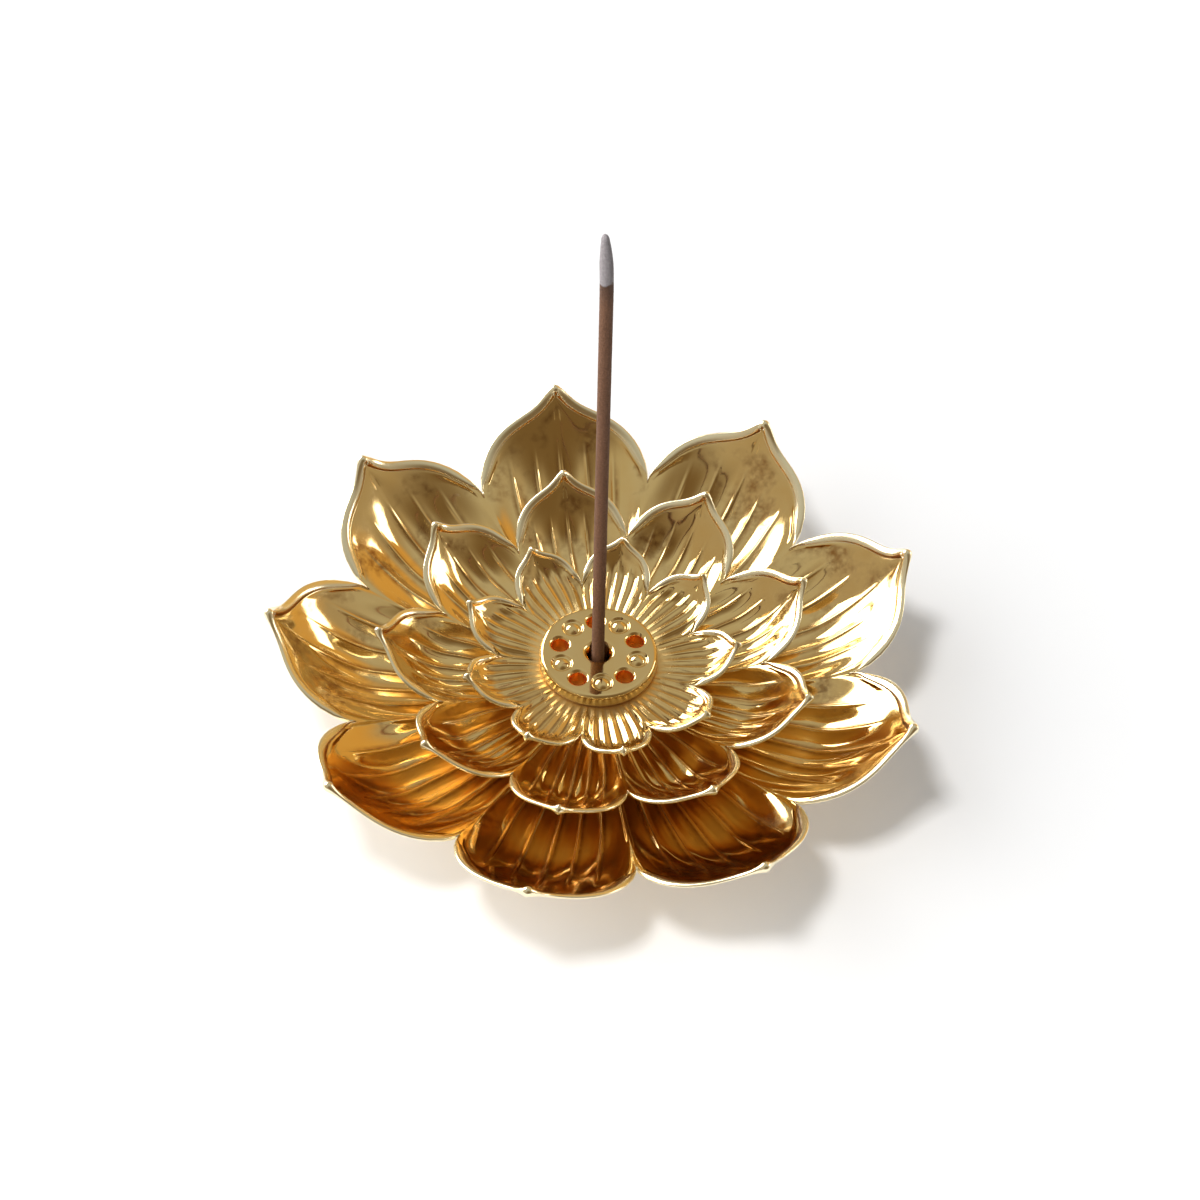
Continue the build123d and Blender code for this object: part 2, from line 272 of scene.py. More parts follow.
class FinishSettings(bpy.types.PropertyGroup):
    """Colours of the plated, steel and rubber pieces"""
    gold: colour("Gold", "Colour of the gold plate", (0.900, 0.690, 0.340))
    deep_gold: colour("Deep gold", "Warmer gold in the mottle of the plate", (0.870, 0.620, 0.260))
    # Paler gold painted on the lips and ridges as a highlight
    highlight_gold: colour("Highlight gold", "Paler gold along the worn lips", (0.970, 0.880, 0.640))
    # Darker gold painted as shade beside the ribs, in blotches of dark reflection towards the rims and down the
    # pod's wall
    painted_shade_gold: colour("Painted_shade_gold", "Gold beside the ribs and in the creases", (0.360, 0.180, 0.050))
    # Orange gold painted inside the seed holes for the light that bounces in them
    hole_light_gold: colour("Hole_light_gold", "Red-gold that has gathered in the seed holes", (0.900, 0.460, 0.130))
    zinc: colour("Zinc", "Colour of the screw and the washer", (0.560, 0.570, 0.580))
    rubber: colour("Rubber", "Colour of the foot pad", (0.030, 0.030, 0.032))


class StudioSettings(bpy.types.PropertyGroup):
    """Camera, floor and light"""
    azimuth: angle("Azimuth", "Direction that the camera looks from", -10.0)
    elevation: angle("Elevation", "Height of the camera above the horizon", 49.74)
    roll: angle("Roll", "Turn of the camera about its own axis", 2.31)
    distance: length("Distance", "From the camera to the point that it looks at", 0.5228)
    target: bpy.props.FloatVectorProperty(
        name="Target", description="Point that the camera looks at",
        default=(0.00396, 0.02313, -0.0005), subtype="TRANSLATION", unit="LENGTH", precision=5)
    lens: factor("Lens", "Focal length in millimetres on a 36 mm sensor", 98.85)
    floor: colour("Floor", "Colour of the floor", (0.75, 0.75, 0.75))
    floor_glow: factor("Floor glow", "Light added so that the floor is seen white", 0.25)
    far_glow: factor("Far glow", "Light added to the floor away from the flower", 0.80)
    daylight: colour("Daylight", "Plain light on matt surfaces from the left", (1.00, 1.00, 1.00))
    daylight_level: factor("Daylight level", "Brightness of the plain light from the left", 3.0)
    shade: colour("Shade", "Plain light on matt surfaces from the other sides", (0.06, 0.06, 0.06))
    ceiling: colour("Ceiling", "Light from above", (0.49, 0.475, 0.41))
    walls: colour("Walls", "Light from the sides", (0.42, 0.36, 0.265))
    behind: colour("Behind", "Dark side where the camera stands", (0.18, 0.125, 0.065))
    amber: colour("Amber", "Light from a warm card on the right", (0.68, 0.42, 0.13))


class LotusSettings(bpy.types.PropertyGroup):
    """All settings of the incense stick holder"""
    outer: part_group(OuterTierSettings, "Outer tier", "Outer petals")
    middle: part_group(MiddleTierSettings, "Middle tier", "Middle petals")
    inner: part_group(InnerTierSettings, "Inner tier", "Inner petals")
    sheet: part_group(SheetSettings, "Sheet", "Sheet and lip")
    pod: part_group(PodSettings, "Pod", "Seed pod")
    stick: part_group(StickSettings, "Stick", "Incense stick")
    finish: part_group(FinishSettings, "Finish", "Colours")
    studio: part_group(StudioSettings, "Studio", "Camera and light")


# Surfaces

def ease(value, start, end):
    """Smooth step from 0 at start to 1 at end."""
    part = np.clip((value - start) / (end - start), 0, 1)
    return part * part * (3 - 2 * part)


def unit(vectors):
    """Vectors of length 1 along the last axis."""
    return vectors / np.linalg.norm(vectors, axis=-1, keepdims=True)


def lifted(plan, height):
    """Points over a plan of complex numbers x + iy, at heights that fit its shape."""
    return np.stack([plan.real, plan.imag, np.broadcast_to(height, plan.shape)], axis=-1)


def turned_grid(profile, turns):
    """Surface of revolution: each (radius, height) of the profile is carried round Z through the turns."""
    profile = np.asarray(profile, float)
    return lifted(profile[:, :1] * np.exp(1j * turns), profile[:, 1:])


def rim(notch, shoulder, tip, power, roundness, across):
    """A rim's reach or rise in two parts: the shoulder (1 - |across|^power)^roundness above the notch,
    and the point, which dies away as exp(-|across| / point share) with its very end rounded."""
    fullness = np.clip(1 - np.abs(across) ** power, 0, 1) ** roundness
    away = np.hypot(across, TIP_ROUND_SHARE) - TIP_ROUND_SHARE
    return notch + (shoulder - notch) * fullness, (tip - shoulder) * np.exp(-away / POINT_SHARE)


def place_across(vein, along):
    """Place across the petal of a vein line, which draws in towards the midrib near the rim."""
    return vein * (1 - GATHER_SHARE * ease(along, *GATHER_SHARES) * (1 - vein ** GATHER_POWER))


def petal_sheet(tier, sheet, vein, along):
    """Upper face of a petal that points along +X. vein runs from -1 to 1 between the seams, along from 0 at
    the land to 1 at the rim. The radius grows evenly to the rim, with the point added as along^3. The height
    is a straight run plus a sweep near the rim, smooth step and power mixed, with the point as along^8."""
    across = place_across(vein, along)
    reach, reach_point = rim(
        tier.notch_radius, tier.shoulder_radius, tier.tip_radius, RADIUS_POWER, RADIUS_ROUNDNESS, across)
    rise, rise_point = rim(
        tier.notch_rise, tier.shoulder_rise, tier.tip_rise, RISE_POWER, RISE_ROUNDNESS, across)
    radius = tier.land_radius + along * (reach - tier.land_radius) + along ** POINT_RADIUS_POWER * reach_point
    run = RUN_MIDRIB_SHARE + (RUN_SEAM_SHARE - RUN_MIDRIB_SHARE) * across ** 2
    sweep = np.clip((along - SWEEP_START_SHARE) / (1 - SWEEP_START_SHARE), 0, 1)
    swept = SWEEP_EASE_SHARE * ease(sweep, 0, 1) + (1 - SWEEP_EASE_SHARE) * sweep ** SWEEP_POWER
    floor = tier.land_base + sheet.land_proud + sheet.sheet
    height = floor + rise * (run * along + (1 - run) * swept) + rise_point * along ** POINT_RISE_POWER
    turn = across * HALF_PITCH
    return np.stack([radius * np.cos(turn), radius * np.sin(turn), height], axis=-1)


def petal_frame(tier, sheet, vein, along):
    """Point, normal, slope along the petal and slope across it, by small differences. At the seams the
    normal turns into the plane through the axis, so that neighbours meet."""
    point = petal_sheet(tier, sheet, vein, along)
    low, high = np.clip(along - SLOPE_STEP, 0, 1), np.clip(along + SLOPE_STEP, 0, 1)
    outward = unit(petal_sheet(tier, sheet, vein, high) - petal_sheet(tier, sheet, vein, low))
    left, right = np.clip(vein - SLOPE_STEP, -1, 1), np.clip(vein + SLOPE_STEP, -1, 1)
    sideways = unit(petal_sheet(tier, sheet, right, along) - petal_sheet(tier, sheet, left, along))
    turn = place_across(vein, along) * HALF_PITCH
    ring = np.stack([-np.sin(turn), np.cos(turn), np.zeros_like(turn)], axis=-1)
    seam = ease(np.abs(vein), *SEAM_SHARES)[..., None]
    normal = unit(unit(np.cross(outward, sideways)) * (1 - seam) + unit(np.cross(outward, ring)) * seam)
    return point, normal, outward, sideways


def band_faces(tier, sheet, vein, along, point, share):
    """How far each point moves to make the band between two veins straight across, less and less towards the
    rim, which stays curved."""
    left = np.floor((vein + 1) * BAND_COUNT / 2) * 2 / BAND_COUNT - 1
    part = ((vein - left) * BAND_COUNT / 2)[..., None]
    chord = (1 - part) * petal_sheet(tier, sheet, left, along)
    chord = chord + part * petal_sheet(tier, sheet, np.minimum(left + 2 / BAND_COUNT, 1), along)
    return (chord - point) * (1 - ease(share, *FACET_FADE_SHARES))[..., None]


def rib_relief(tier, vein, share):
    """Height of the ribs and hollows, the crease at a rib's foot and the worn ridge: a bell across each vein
    line and a shallow arc across each band, rising from the land and ending short of the rim, where share is 1."""
    part = (vein + 1) * BAND_COUNT / 2
    offset = part - np.round(part)
    nearest = np.abs(offset)
    on_seam = (np.round(part) % BAND_COUNT) == 0
    strength = ease(share, 0, tier.rib_onset) * (1 - ease(share, *RIB_FADE_SHARES))
    spread = nearest / tier.rib_half
    bell = (1 - ease(spread, 0, 1)) * np.where(on_seam, SEAM_RIB_GAIN, 1)
    inside = np.clip((nearest - tier.rib_half) / (HALF_BAND - tier.rib_half), 0, 1)
    arc = inside * (2 - inside)
    crease = (1 - ease(np.abs(spread - tier.crease_place), *CREASE_SPREADS)) * strength
    crease = crease * np.where(offset * vein < 0, tier.crease_near, 1)
    ridge = (1 - ease(spread, *RIDGE_SPREADS)) * strength
    return (tier.rib_height * bell - tier.hollow * arc) * strength, crease, ridge


def lip_path(sheet, width):
    """Places round the rim as (inward, upward) from its line: the upper face, then an ellipse that climbs over
    a bead and goes round the outer side to the lower face, (cos, sin) of a turn about the bead's middle."""
    high, low = sheet.face_rise + sheet.bead_height, -sheet.lip_half
    half, middle = (high - low) / 2, (high + low) / 2
    turn = np.linspace(np.arcsin((sheet.face_rise - middle) / half), 1.5 * pi, BEAD_ROWS)
    bead = np.stack([width * (BEAD_MIDDLE + BEAD_HALF * np.cos(turn)), middle + half * np.sin(turn)], axis=1)
    foot = [(part * width, sheet.face_rise) for part in LIP_FEET]
    return np.concatenate([foot, bead])


def tier_grid(tier, sheet):
    """Closed grid of a tier. Its columns follow the vein lines of nine petals. Its rows run up the bore, out
    over the land and the upper face, round the lip and back under the sheet."""
    rib = np.linspace(0, tier.rib_half, RIB_STEPS, endpoint=False)
    flat = np.linspace(tier.rib_half, 1 - tier.rib_half, FLAT_STEPS, endpoint=False)
    band = np.concatenate([rib, flat, rib + 1 - tier.rib_half])
    vein = (-1 + (np.arange(BAND_COUNT)[:, None] + band) * 2 / BAND_COUNT).ravel()
    ends = np.ones_like(vein)
    rim_point, rim_normal, rim_outward, rim_sideways = petal_frame(tier, sheet, vein, ends)
    run_length = np.linalg.norm(rim_point[:, :2], axis=1) - tier.land_radius
    lip_edge = 1 - LIP_MARGIN * tier.bead_width / run_length

    def face(count):
        """Points, normals and relief of the upper face in rows from the land's edge to just inside the lip."""
        share = np.linspace(0, 1, count)[:, None]
        veins, along = np.broadcast_to(vein, (count, len(vein))), share * lip_edge
        point, normal, _, _ = petal_frame(tier, sheet, veins, along)
        point = point + band_faces(tier, sheet, veins, along, point, share)
        return share, point, normal, *rib_relief(tier, veins, share)

    share_up, point, normal, relief, crease, ridge = face(TOP_ROWS)
    upper = point + normal * (relief + sheet.face_rise * share_up ** FACE_RISE_POWER)[..., None]
    share, point, normal, *_ = face(UNDER_ROWS)
    wall = sheet.sheet + (sheet.lip_half - sheet.sheet) * share
    under = point - normal * wall[..., None]

    across = place_across(vein, ends)
    seam = ease(np.abs(vein), *SEAM_SHARES)[:, None]
    plain = np.maximum(1 - ease(np.abs(across), 0, TIP_SHARE)[:, None], seam)
    inward = unit(np.cross(rim_normal, rim_sideways)) * (1 - plain) - rim_outward * plain
    inward = unit(inward) * (1 - SEAM_LIP_LOSS * seam)
    gain = 1 + TIP_BEAD_GAIN * np.exp(-(across / TIP_BEAD_SHARE) ** 2)[:, None]
    path = lip_path(sheet, tier.bead_width)[:, :, None, None]
    lip = rim_point + path[:, 0] * inward + path[:, 1] * gain * rim_normal

    base, bore = tier.land_base, sheet.bore_radius
    top = base + sheet.sheet + 2 * sheet.land_proud
    land_edge = tier.land_radius - sheet.land_proud
    turn = np.arctan2(upper[0, :, 1], upper[0, :, 0])
    land = turned_grid([(bore, base), (bore, top), (land_edge, top)], turn)
    petal = np.concatenate([land, upper, lip, under[::-1], turned_grid([(land_edge, base)], turn)])
    lip_start = len(land) + TOP_ROWS
    face_rows = slice(len(land), lip_start)
    bead_rows = slice(lip_start + len(LIP_FEET), lip_start + len(lip))
    layers = {name: np.zeros(petal.shape[:2]) for name in ("crease", "satin", "edge", "dark_rim_reflection")}
    # The crease layer is painted shade beside the ribs
    layers["crease"][face_rows] = crease
    # Dark reflections painted in towards the rim
    layers["dark_rim_reflection"][face_rows] = ease(share_up, *DARK_RIM_REFLECTION_SHARES)
    layers["satin"][:len(land)] = 1
    layers["satin"][face_rows] = 1 - ease(share_up, *SATIN_SHARES)
    layers["satin"][bead_rows.stop:] = 1
    # The edge layer paints a highlight along the ridges and on the lip's bead
    layers["edge"][face_rows] = RIDGE_HIGHLIGHT * ridge
    layers["edge"][bead_rows] = 1

    turns = FIRST_PETAL + tier.turn + np.arange(PETAL_COUNT) * 2 * HALF_PITCH
    plan = (petal[..., 0] + 1j * petal[..., 1])[:, None] * np.exp(1j * turns)[:, None]
    grid = lifted(plan, petal[:, None, :, 2]).reshape(len(petal), -1, 3)
    return grid, {name: [np.tile(layer, (1, PETAL_COUNT))] for name, layer in layers.items()}


def even_turns(count):
    """Directions spaced evenly round a circle."""
    return np.arange(count) * 2 * pi / count


def rounded(corners, radius, steps=5):
    """A closed (radius, height) outline with each corner replaced by a quadratic arc of about that radius."""
    corners = np.asarray(corners, float)
    before = unit(np.roll(corners, 1, axis=0) - corners)
    after = unit(np.roll(corners, -1, axis=0) - corners)
    step = np.linspace(0, 1, steps)[None, :, None]
    start, end = corners + before * radius, corners + after * radius
    arcs = (1 - step) ** 2 * start[:, None] + 2 * step * (1 - step) * corners[:, None] + step ** 2 * end[:, None]
    return arcs.reshape(-1, 2)


def soft_chamfer(radius, chamfer, level):
    """Places (radius, height) down the chamfer of a hole from the face at that level, both its edges eased."""
    wide, lap = radius + chamfer, chamfer * LAP_SHARE
    return [(wide + lap, level), (wide, level - lap / 4), (wide - lap, level - lap),
            (radius + lap / 2, level - chamfer + lap), (radius, level - chamfer - lap / 2)]


def hole_profile(pod, top):
    """Outline of a seed hole as (radius, height from the face): the eased chamfer, the wall and the floor."""
    floor = pod.base - top + pod.hole_chamfer * HOLE_LIFT_SHARE
    wall = [(pod.hole_radius, floor / 2), (pod.hole_radius, floor), (0, floor)]
    return np.array(soft_chamfer(pod.hole_radius, pod.hole_chamfer, 0) + wall)


def dome_profile(pod):
    """Outline of a seed dome as (radius, height from the face): a smooth step down into the recess round it, then
    the cap of a ball."""
    well = np.linspace(1, 0, RING_STEPS)
    slope = pod.dome_radius + (pod.ring_radius - pod.dome_radius) * well
    ball = (pod.dome_radius ** 2 + pod.dome_height ** 2) / (2 * pod.dome_height)
    cap = pod.dome_radius * np.sin(np.linspace(pi / 2, 0, CAP_STEPS))
    crown = pod.dome_height - pod.ring_depth - ball + np.sqrt(ball ** 2 - cap ** 2)
    recess = np.stack([slope, -pod.ring_depth * ease(1 - well, 0, RING_SLOPE_SHARE)], axis=1)
    return np.concatenate([recess, np.stack([cap, crown], axis=1)[1:]])


def pod_grids(pod, top):
    """Grids of the pod: ten flat sectors, each ruled from the circle of its hole or dome to the sector's edge,
    the holes and domes inside them, the mouth and socket, and the rounded edge, wall, stem and screw hole.
    With them go layers that are 1 inside the holes, and grow down the dull wall."""
    inner = pod.mouth_radius + 2 * pod.mouth_chamfer
    outer = pod.radius - pod.edge_round
    arc_out = np.linspace(-SECTOR_HALF, SECTOR_HALF, ARC_STEPS, endpoint=False)
    arc_in = np.linspace(SECTOR_HALF, -SECTOR_HALF, MOUTH_STEPS, endpoint=False)
    side = np.linspace(outer, inner, SIDE_STEPS, endpoint=False)
    edge = np.concatenate([
        outer * np.exp(1j * arc_out), side * np.exp(1j * SECTOR_HALF),
        inner * np.exp(1j * arc_in), (inner + outer - side) * np.exp(-1j * SECTOR_HALF),
    ])
    spoke = np.exp(1j * np.angle(edge - pod.seed_circle))
    profiles = hole_profile(pod, top), dome_profile(pod)
    grids, hollows = [], []
    for index in range(SECTOR_COUNT):
        middle = np.exp(1j * (pod.first_hole + index * 2 * SECTOR_HALF))
        profile = profiles[index % 2]
        rows = [pod.seed_circle + radius * spoke for radius in profile[:, 0]]
        flat = [rows[0] + (edge - rows[0]) * part for part in SECTOR_PARTS]
        levels = np.concatenate([np.zeros(len(flat)), profile[:, 1]]) + top
        plan = np.array(flat + rows) * middle
        grids.append(lifted(plan, levels[:, None]))
        # Where orange light is painted inside the holes
        inside = ease((top - levels) / pod.hole_chamfer, *HOLLOW_SHARES) * (1 - index % 2)
        hollows.append(np.broadcast_to(inside[:, None], plan.shape))

    sectors = pod.first_hole + np.arange(SECTOR_COUNT)[:, None] * 2 * SECTOR_HALF
    bend = np.linspace(0, pi / 2, EDGE_STEPS)
    rounding = np.stack([outer + pod.edge_round * np.sin(bend), top - pod.edge_round * (1 - np.cos(bend))], axis=1)
    stem_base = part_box("seed_pod")[0].z
    foot = pod.hole_chamfer * FOOT_SHARE
    wall = [(pod.radius, pod.base + foot), (pod.radius - foot, pod.base), (pod.stem_radius, pod.base),
            (pod.stem_radius, stem_base), (pod.screw_bore, stem_base),
            (pod.screw_bore, pod.screw_bore_top), (0, pod.screw_bore_top)]
    outside = turned_grid(np.concatenate([rounding, wall]), (sectors + arc_out).ravel())
    socket = [(inner, top), *soft_chamfer(pod.mouth_radius, pod.mouth_chamfer, top),
              (pod.socket_radius, top - pod.mouth_depth), (pod.socket_radius, pod.socket_floor),
              (0, pod.socket_floor)]
    grids += [outside, turned_grid(socket, (sectors + arc_in[::-1]).ravel())]
    hollows += [np.zeros(grid.shape[:2]) for grid in grids[SECTOR_COUNT:]]
    creases = [np.zeros(grid.shape[:2]) for grid in grids]
    # Painted shade and dullness grow down the pod's wall
    creases[SECTOR_COUNT] += ease((top - outside[..., 2]) / pod.edge_round, *WALL_SHARES) * WALL_DULLNESS
    return grids, {"hollow": hollows, "crease": creases, "satin": creases}


def stick_grid(stick, foot):
    """Tube along the leaning axis: an even radius, then a taper to the round end of the ash, whose line bends
    over as the square of the way up its last stretch. The stick bows out as the power 1.2 of the way up."""
    closing = (1 - np.linspace(TAPER_START_SHARE, 1, TAPER_ROWS)) ** TAPER_ROW_POWER
    way = np.concatenate([[0, 0], np.linspace(0, stick.length - stick.taper, SHAFT_ROWS),
                          stick.length - stick.taper * closing])
    rise = np.clip((way - stick.length + stick.taper) / stick.taper, 0, 1)
    body = stick.radius - (stick.radius - stick.tip_radius) * rise ** TAPER_POWER
    nose = np.clip((stick.length - way) / (2 * stick.tip_radius), 0, 1)
    radius = body * np.sqrt(1 - (1 - nose) ** 2)
    radius[0] = 0
    bent = BEND_TAPERS * stick.taper
    over = np.clip((way - stick.length + bent) / bent, 0, 1) ** BEND_POWER * stick.bend
    bow = np.clip(way / stick.length - BOW_START_SHARE, 0, 1) ** BOW_POWER * stick.bow
    shift = over * np.exp(1j * stick.heading) + bow * np.exp(1j * stick.bow_heading)
    plan = radius[:, None] * np.exp(1j * even_turns(STICK_TURNS)) + shift[:, None]
    heading = Matrix.Rotation(stick.heading, 3, "Z")
    lean = heading @ Matrix.Rotation(stick.lean, 3, "Y") @ heading.inverted()
    return lifted(plan, way[:, None]) @ np.array(lean).T + np.array([0, 0, foot])


# Pieces

def add(name, data):
    """A new object in the scene."""
    made = bpy.data.objects.new(name, data)
    bpy.context.scene.collection.objects.link(made)
    return made


def grid_faces(rows, columns, closed):
    """Corner indices of a grid's quads. Columns always close into a ring, and rows too if closed."""
    row = np.arange(rows if closed else rows - 1)[:, None]
    column = np.arange(columns)[None]
    next_row, next_column = (row + 1) % rows, (column + 1) % columns
    corners = [row * columns + column, row * columns + next_column,
               next_row * columns + next_column, next_row * columns + column]
    return np.stack(corners, axis=-1).reshape(-1, 4)


def piece(name, grids, material, body, nodes, closed=False, sharp=None, layers=None):
    """A mesh piece made of grids that meet point to point, riding a body in place of its nodes. Its layers are
    values at the points that the material reads."""
    points = np.concatenate([grid.reshape(-1, 3) for grid in grids])
    starts = np.cumsum([0] + [grid.shape[0] * grid.shape[1] for grid in grids])
    faces = np.concatenate([
        grid_faces(*grid.shape[:2], closed) + start for grid, start in zip(grids, starts)])
    mesh = bpy.data.meshes.new(name)
    mesh.from_pydata(points.tolist(), [], faces.tolist())
    for key, values in (layers or {}).items():
        layer = mesh.attributes.new(key, "FLOAT", "POINT")
        layer.data.foreach_set("value", np.concatenate([part.ravel() for part in values]).astype(np.float32))
    model = bmesh.new()
    model.from_mesh(mesh)
    bmesh.ops.remove_doubles(model, verts=model.verts, dist=MERGE_DISTANCE)
    bmesh.ops.recalc_face_normals(model, faces=model.faces)
    model.to_mesh(mesh)
    model.free()
    mesh.polygons.foreach_set("use_smooth", np.ones(len(mesh.polygons), bool))
    if sharp is not None:
        mesh.set_sharp_from_angle(angle=sharp)
    mesh.materials.append(material)
    made = add(name, mesh)
    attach(made, body)
    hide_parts(*nodes)
    return made


# Materials

def feed(tree, made, inputs):
    """Gives a node's sockets their values or links."""
    for key, value in inputs.items():
        if isinstance(value, bpy.types.NodeSocket):
            tree.links.new(value, made.inputs[key])
        else:
            made.inputs[key].default_value = value


def node(tree, kind, inputs=None, **settings):
    """Adds a node. Settings are its own values, and inputs are values or links for its sockets."""
    made = tree.nodes.new(kind)
    for key, value in settings.items():
        setattr(made, key, value)
    feed(tree, made, inputs or {})
    return made


def math_node(tree, operation, first, second):
    """One sum of two values."""
    return node(tree, "ShaderNodeMath", {0: first, 1: second}, operation=operation).outputs[0]


def ramp(tree, value, start, end, low=0.0, high=1.0, kind="LINEAR"):
    """A value from low to high as another goes from start to end."""
    return node(tree, "ShaderNodeMapRange", {
        "Value": value, "From Min": start, "From Max": end, "To Min": low, "To Max": high},
        interpolation_type=kind).outputs[0]


def between(tree, share, low, high):
    """A value from low to high as share goes from 0 to 1."""
    return ramp(tree, share, 0.0, 1.0, low, high)


def blend(tree, share, *colours):
    """A colour from the first to the second as share goes from 0 to 1."""
    first, second = (shade if isinstance(shade, bpy.types.NodeSocket) else (*shade, 1.0) for shade in colours)
    inputs = {MIX_SHARE: share, MIX_FIRST: first, MIX_SECOND: second}
    return node(tree, "ShaderNodeMix", inputs, data_type="RGBA").outputs[MIX_RESULT]


def noise(tree, place, scale, detail, span):
    """Noise that goes from 0 to 1 over a span of its own values."""
    made = node(tree, "ShaderNodeTexNoise", {"Vector": place, "Scale": scale, "Detail": detail})
    return ramp(tree, made.outputs["Fac"], *span)


def fill_mottle(group, source, sink):
    """Clouds of two sizes, for uneven colour and roughness."""
    for output, scale, detail in (("Mask", "Scale", 3.0), ("Fine", "Fine Scale", 4.0)):
        group.links.new(noise(group, source["Vector"], source[scale], detail, CLOUD_SPAN), sink[output])


def fill_marks(group, source, sink):
    """Fine straight marks in two directions, from noise drawn out along one axis each."""
    lines = []
    for turn, stretch in MARK_RUNS:
        turned = node(group, "ShaderNodeMapping", {
            "Vector": source["Vector"], "Rotation": (*MARK_TILT, turn), "Scale": stretch})
        lines.append(noise(group, turned.outputs[0], source["Scale"], 2.0, MARK_SPAN))
    group.links.new(math_node(group, "MAXIMUM", *lines), sink["Marks"])


# Shared effects: what fills the group, its scales per metre and its values
EFFECTS = {
    "surface_mottle": (fill_mottle, ("Scale", "Fine Scale"), ("Mask", "Fine")),
    "polish_marks": (fill_marks, ("Scale",), ("Marks",)),
}


def effect(tree, name, place, *scales):
    """Places a shared effect in a material with its own scales. Its group is made at the first use."""
    fill, inputs, outputs = EFFECTS[name]
    group = bpy.data.node_groups.get(name)
    if group is None:
        group = bpy.data.node_groups.new(name, "ShaderNodeTree")
        group.interface.new_socket("Vector", in_out="INPUT", socket_type="NodeSocketVector")
        for way, sockets in (("INPUT", inputs), ("OUTPUT", outputs)):
            for socket in sockets:
                group.interface.new_socket(socket, in_out=way, socket_type="NodeSocketFloat")
        fill(group, group.nodes.new("NodeGroupInput").outputs, group.nodes.new("NodeGroupOutput").inputs)
    return node(tree, "ShaderNodeGroup", {"Vector": place, **dict(zip(inputs, scales))}, node_tree=group).outputs


def new_material(name):
    """A material with a bare Principled surface, its tree, its shader and its object coordinates."""
    material = bpy.data.materials.new(name)
    material.use_nodes = True
    tree = material.node_tree
    shader = tree.nodes["Principled BSDF"]
    place = node(tree, "ShaderNodeTexCoord").outputs["Object"]
    return material, tree, shader, place


def dress(tree, shader, base, rough, height, depth, metallic=0.0):
    """Leads a colour, a roughness and a height, of depth metres per unit, to a material's shader."""
    bump = node(tree, "ShaderNodeBump", {"Height": height, "Distance": depth, "Strength": 1.0})
    feed(tree, shader, {"Base Color": base, "Roughness": rough, "Metallic": metallic, "Normal": bump.outputs[0]})


def gold_plate(finish):
    """Mirror-polished plate with faint clouds of warmer gold and polishing marks, darker in the creases, satin
    where a buff can't reach and pale where the lips are worn."""
    material, tree, shader, place = new_material("polished_gold")
    clouds = effect(tree, "surface_mottle", place, *GOLD_CLOUDS)
    marks = effect(tree, "polish_marks", place, GOLD_MARKS)["Marks"]
    layers = {name: node(tree, "ShaderNodeAttribute", attribute_name=name).outputs["Fac"]
              for name in ("crease", "satin", "edge", "hollow", "dark_rim_reflection")}
    # Blotches of painted dark reflection towards the rims
    blotch = math_node(tree, "MULTIPLY", layers["dark_rim_reflection"], clouds["Fine"])
    layers["blotch"] = math_node(tree, "MULTIPLY", ramp(tree, clouds["Mask"], *BLOTCH_SHARES), blotch)
    # Painted shade in the creases beside the ribs and down the pod's wall, and in the blotches
    retouched = math_node(tree, "MULTIPLY", layers["crease"], between(tree, clouds["Fine"], *CREASE_STRENGTHS))
    retouched = math_node(tree, "MAXIMUM", retouched, layers["blotch"])
    base = blend(tree, clouds["Mask"], finish.deep_gold, finish.gold)
    base = blend(tree, retouched, base, finish.painted_shade_gold)
    # Painted highlight on the lips and ridges
    base = blend(tree, math_node(tree, "MULTIPLY", layers["edge"], LIP_HIGHLIGHT), base, finish.highlight_gold)
    # Painted orange light inside the seed holes
    base = blend(tree, layers["hollow"], base, finish.hole_light_gold)
    rough = between(tree, marks, 0.0, MARK_ROUGHNESS)
    rough = math_node(tree, "ADD", between(tree, clouds["Fine"], *GOLD_ROUGHNESS), rough)
    for name, added in LAYER_ROUGHNESS.items():
        rough = math_node(tree, "ADD", rough, math_node(tree, "MULTIPLY", layers[name], added))
    height = math_node(tree, "ADD", clouds["Mask"], math_node(tree, "MULTIPLY", marks, MARK_DEPTH_SHARE))
    dress(tree, shader, base, rough, height, GOLD_DEPTH, metallic=1.0)
    return material


def incense_paste(stick, foot):
    """Matt pressed paste with fibres, charred under a pale ash that flakes at its lower edge."""
    material, tree, shader, place = new_material("incense_paste")
    clouds = effect(tree, "surface_mottle", place, *PASTE_CLOUDS)
    height = node(tree, "ShaderNodeSeparateXYZ", {"Vector": place}).outputs["Z"]
    ragged = math_node(tree, "ADD", height, between(tree, clouds["Mask"], -ASH_RAGGED, ASH_RAGGED))
    edge = foot + stick.length * cos(stick.lean) - stick.ash
    ash = ramp(tree, ragged, *(edge + part for part in ASH_EDGE))
    char = ramp(tree, ragged, edge - CHAR_LENGTH, edge)
    paste = blend(tree, between(tree, clouds["Fine"], 0.0, FIBRE_STRENGTH), stick.paste_colour, stick.char_colour)
    burnt = blend(tree, math_node(tree, "MULTIPLY", char, CHAR_STRENGTH), paste, stick.char_colour)
    flake = blend(tree, between(tree, clouds["Fine"], 0.0, FLAKE_STRENGTH), stick.ash_colour, stick.flake_colour)
    dress(tree, shader, blend(tree, ash, burnt, flake), between(tree, clouds["Fine"], *PASTE_ROUGHNESS),
          math_node(tree, "ADD", clouds["Fine"], clouds["Mask"]), PASTE_DEPTH)
    return material


